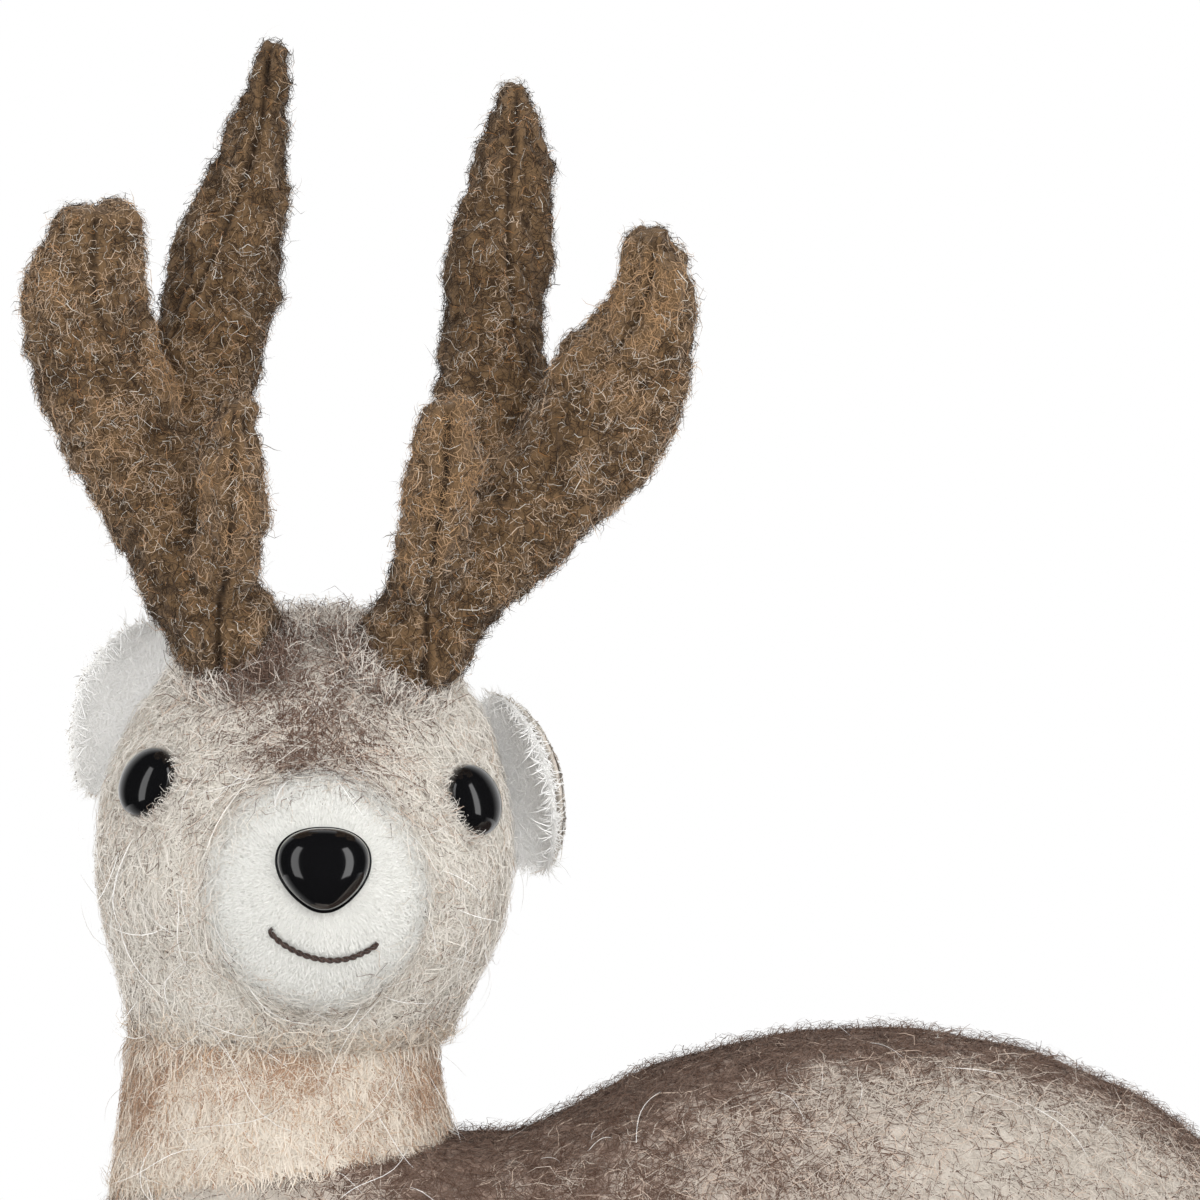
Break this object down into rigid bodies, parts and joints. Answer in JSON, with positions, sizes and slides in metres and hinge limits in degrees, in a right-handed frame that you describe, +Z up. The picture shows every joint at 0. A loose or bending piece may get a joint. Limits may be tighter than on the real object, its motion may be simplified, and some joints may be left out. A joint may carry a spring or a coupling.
{
  "type": "plush deer",
  "caption": "Lying stuffed deer with a turned head on a soft neck, wired felt antlers that bend, folding ears, a short tail, glossy eyes and nose, and folded legs with felt hooves.",
  "frame": {"origin": "middle of the underside, on the surface that the deer lies on", "axes": "+Z up, +X from the neck towards the rump, and the face looks towards -Y"},
  "size_m": [0.2648, 0.1376, 0.307],
  "materials": {
    "cream_fur": "matte",
    "stuffing": "matte",
    "white_pile": "matte",
    "antler_felt": "matte",
    "hoof_felt": "matte",
    "yarn": "matte",
    "black_gloss": "polished",
    "washer_plastic": "matte",
    "steel_wire": "satin"
  },
  "bodies": {
    "body": {"body_cover": "cream_fur", "body_stuffing": "stuffing", "neck_cover": "cream_fur", "neck_stuffing": "stuffing", "left_shoulder": "cream_fur", "right_shoulder": "cream_fur", "left_fore_shank": "cream_fur", "right_fore_shank": "cream_fur", "left_fore_hoof": "hoof_felt", "right_fore_hoof": "hoof_felt", "left_haunch": "cream_fur", "right_haunch": "cream_fur", "left_hind_shank": "cream_fur", "right_hind_shank": "cream_fur", "left_hind_hoof": "hoof_felt", "right_hind_hoof": "hoof_felt"},
    "head": {"head_cover": "cream_fur", "head_stuffing": "stuffing", "muzzle_cover": "white_pile", "muzzle_stuffing": "stuffing", "nose": "black_gloss", "nose_washer": "washer_plastic", "left_eye": "black_gloss", "right_eye": "black_gloss", "left_eye_washer": "washer_plastic", "right_eye_washer": "washer_plastic", "mouth_stitch": "yarn"},
    "left_ear": {"left_ear_lining": "white_pile", "left_ear_back": "cream_fur"},
    "right_ear": {"right_ear_lining": "white_pile", "right_ear_back": "cream_fur"},
    "left_antler": {"left_antler_outer_panel": "antler_felt", "left_antler_inner_panel": "antler_felt", "left_antler_wire": "steel_wire"},
    "right_antler": {"right_antler_outer_panel": "antler_felt", "right_antler_inner_panel": "antler_felt", "right_antler_wire": "steel_wire"},
    "tail": {"tail": "cream_fur"}
  },
  "joints": [
    {"name": "head_turn", "type": "hinge", "parent": "body", "child": "head", "pos_m": [-0.08458, -0.00167, 0.1172], "axis": [0, 0, 1], "range_deg": [-12, 12], "stiffness_Nm_per_rad": 0.25},
    {"name": "left_ear_fold", "type": "hinge", "parent": "head", "child": "left_ear", "pos_m": [-0.04868, 0.01077, 0.17263], "axis": [-0.2924, 0, 0.9563], "range_deg": [0, 25], "stiffness_Nm_per_rad": 0.01},
    {"name": "right_ear_fold", "type": "hinge", "parent": "head", "child": "right_ear", "pos_m": [-0.10344, 0.00566, 0.18545], "axis": [-0.342, 0, -0.9397], "range_deg": [0, 15], "stiffness_Nm_per_rad": 0.01},
    {"name": "left_antler_bend", "type": "hinge", "parent": "head", "child": "left_antler", "pos_m": [-0.05966, -0.02008, 0.19161], "axis": [0, 1, 0], "range_deg": [-8, 10]},
    {"name": "right_antler_bend", "type": "hinge", "parent": "head", "child": "right_antler", "pos_m": [-0.0939, -0.01965, 0.19408], "axis": [0, -1, 0], "range_deg": [-8, 10]},
    {"name": "tail_lift", "type": "hinge", "parent": "body", "child": "tail", "pos_m": [0.1105, 0.00883, 0.08048], "axis": [0, -1, 0], "range_deg": [0, 35], "stiffness_Nm_per_rad": 0.01}
  ]
}
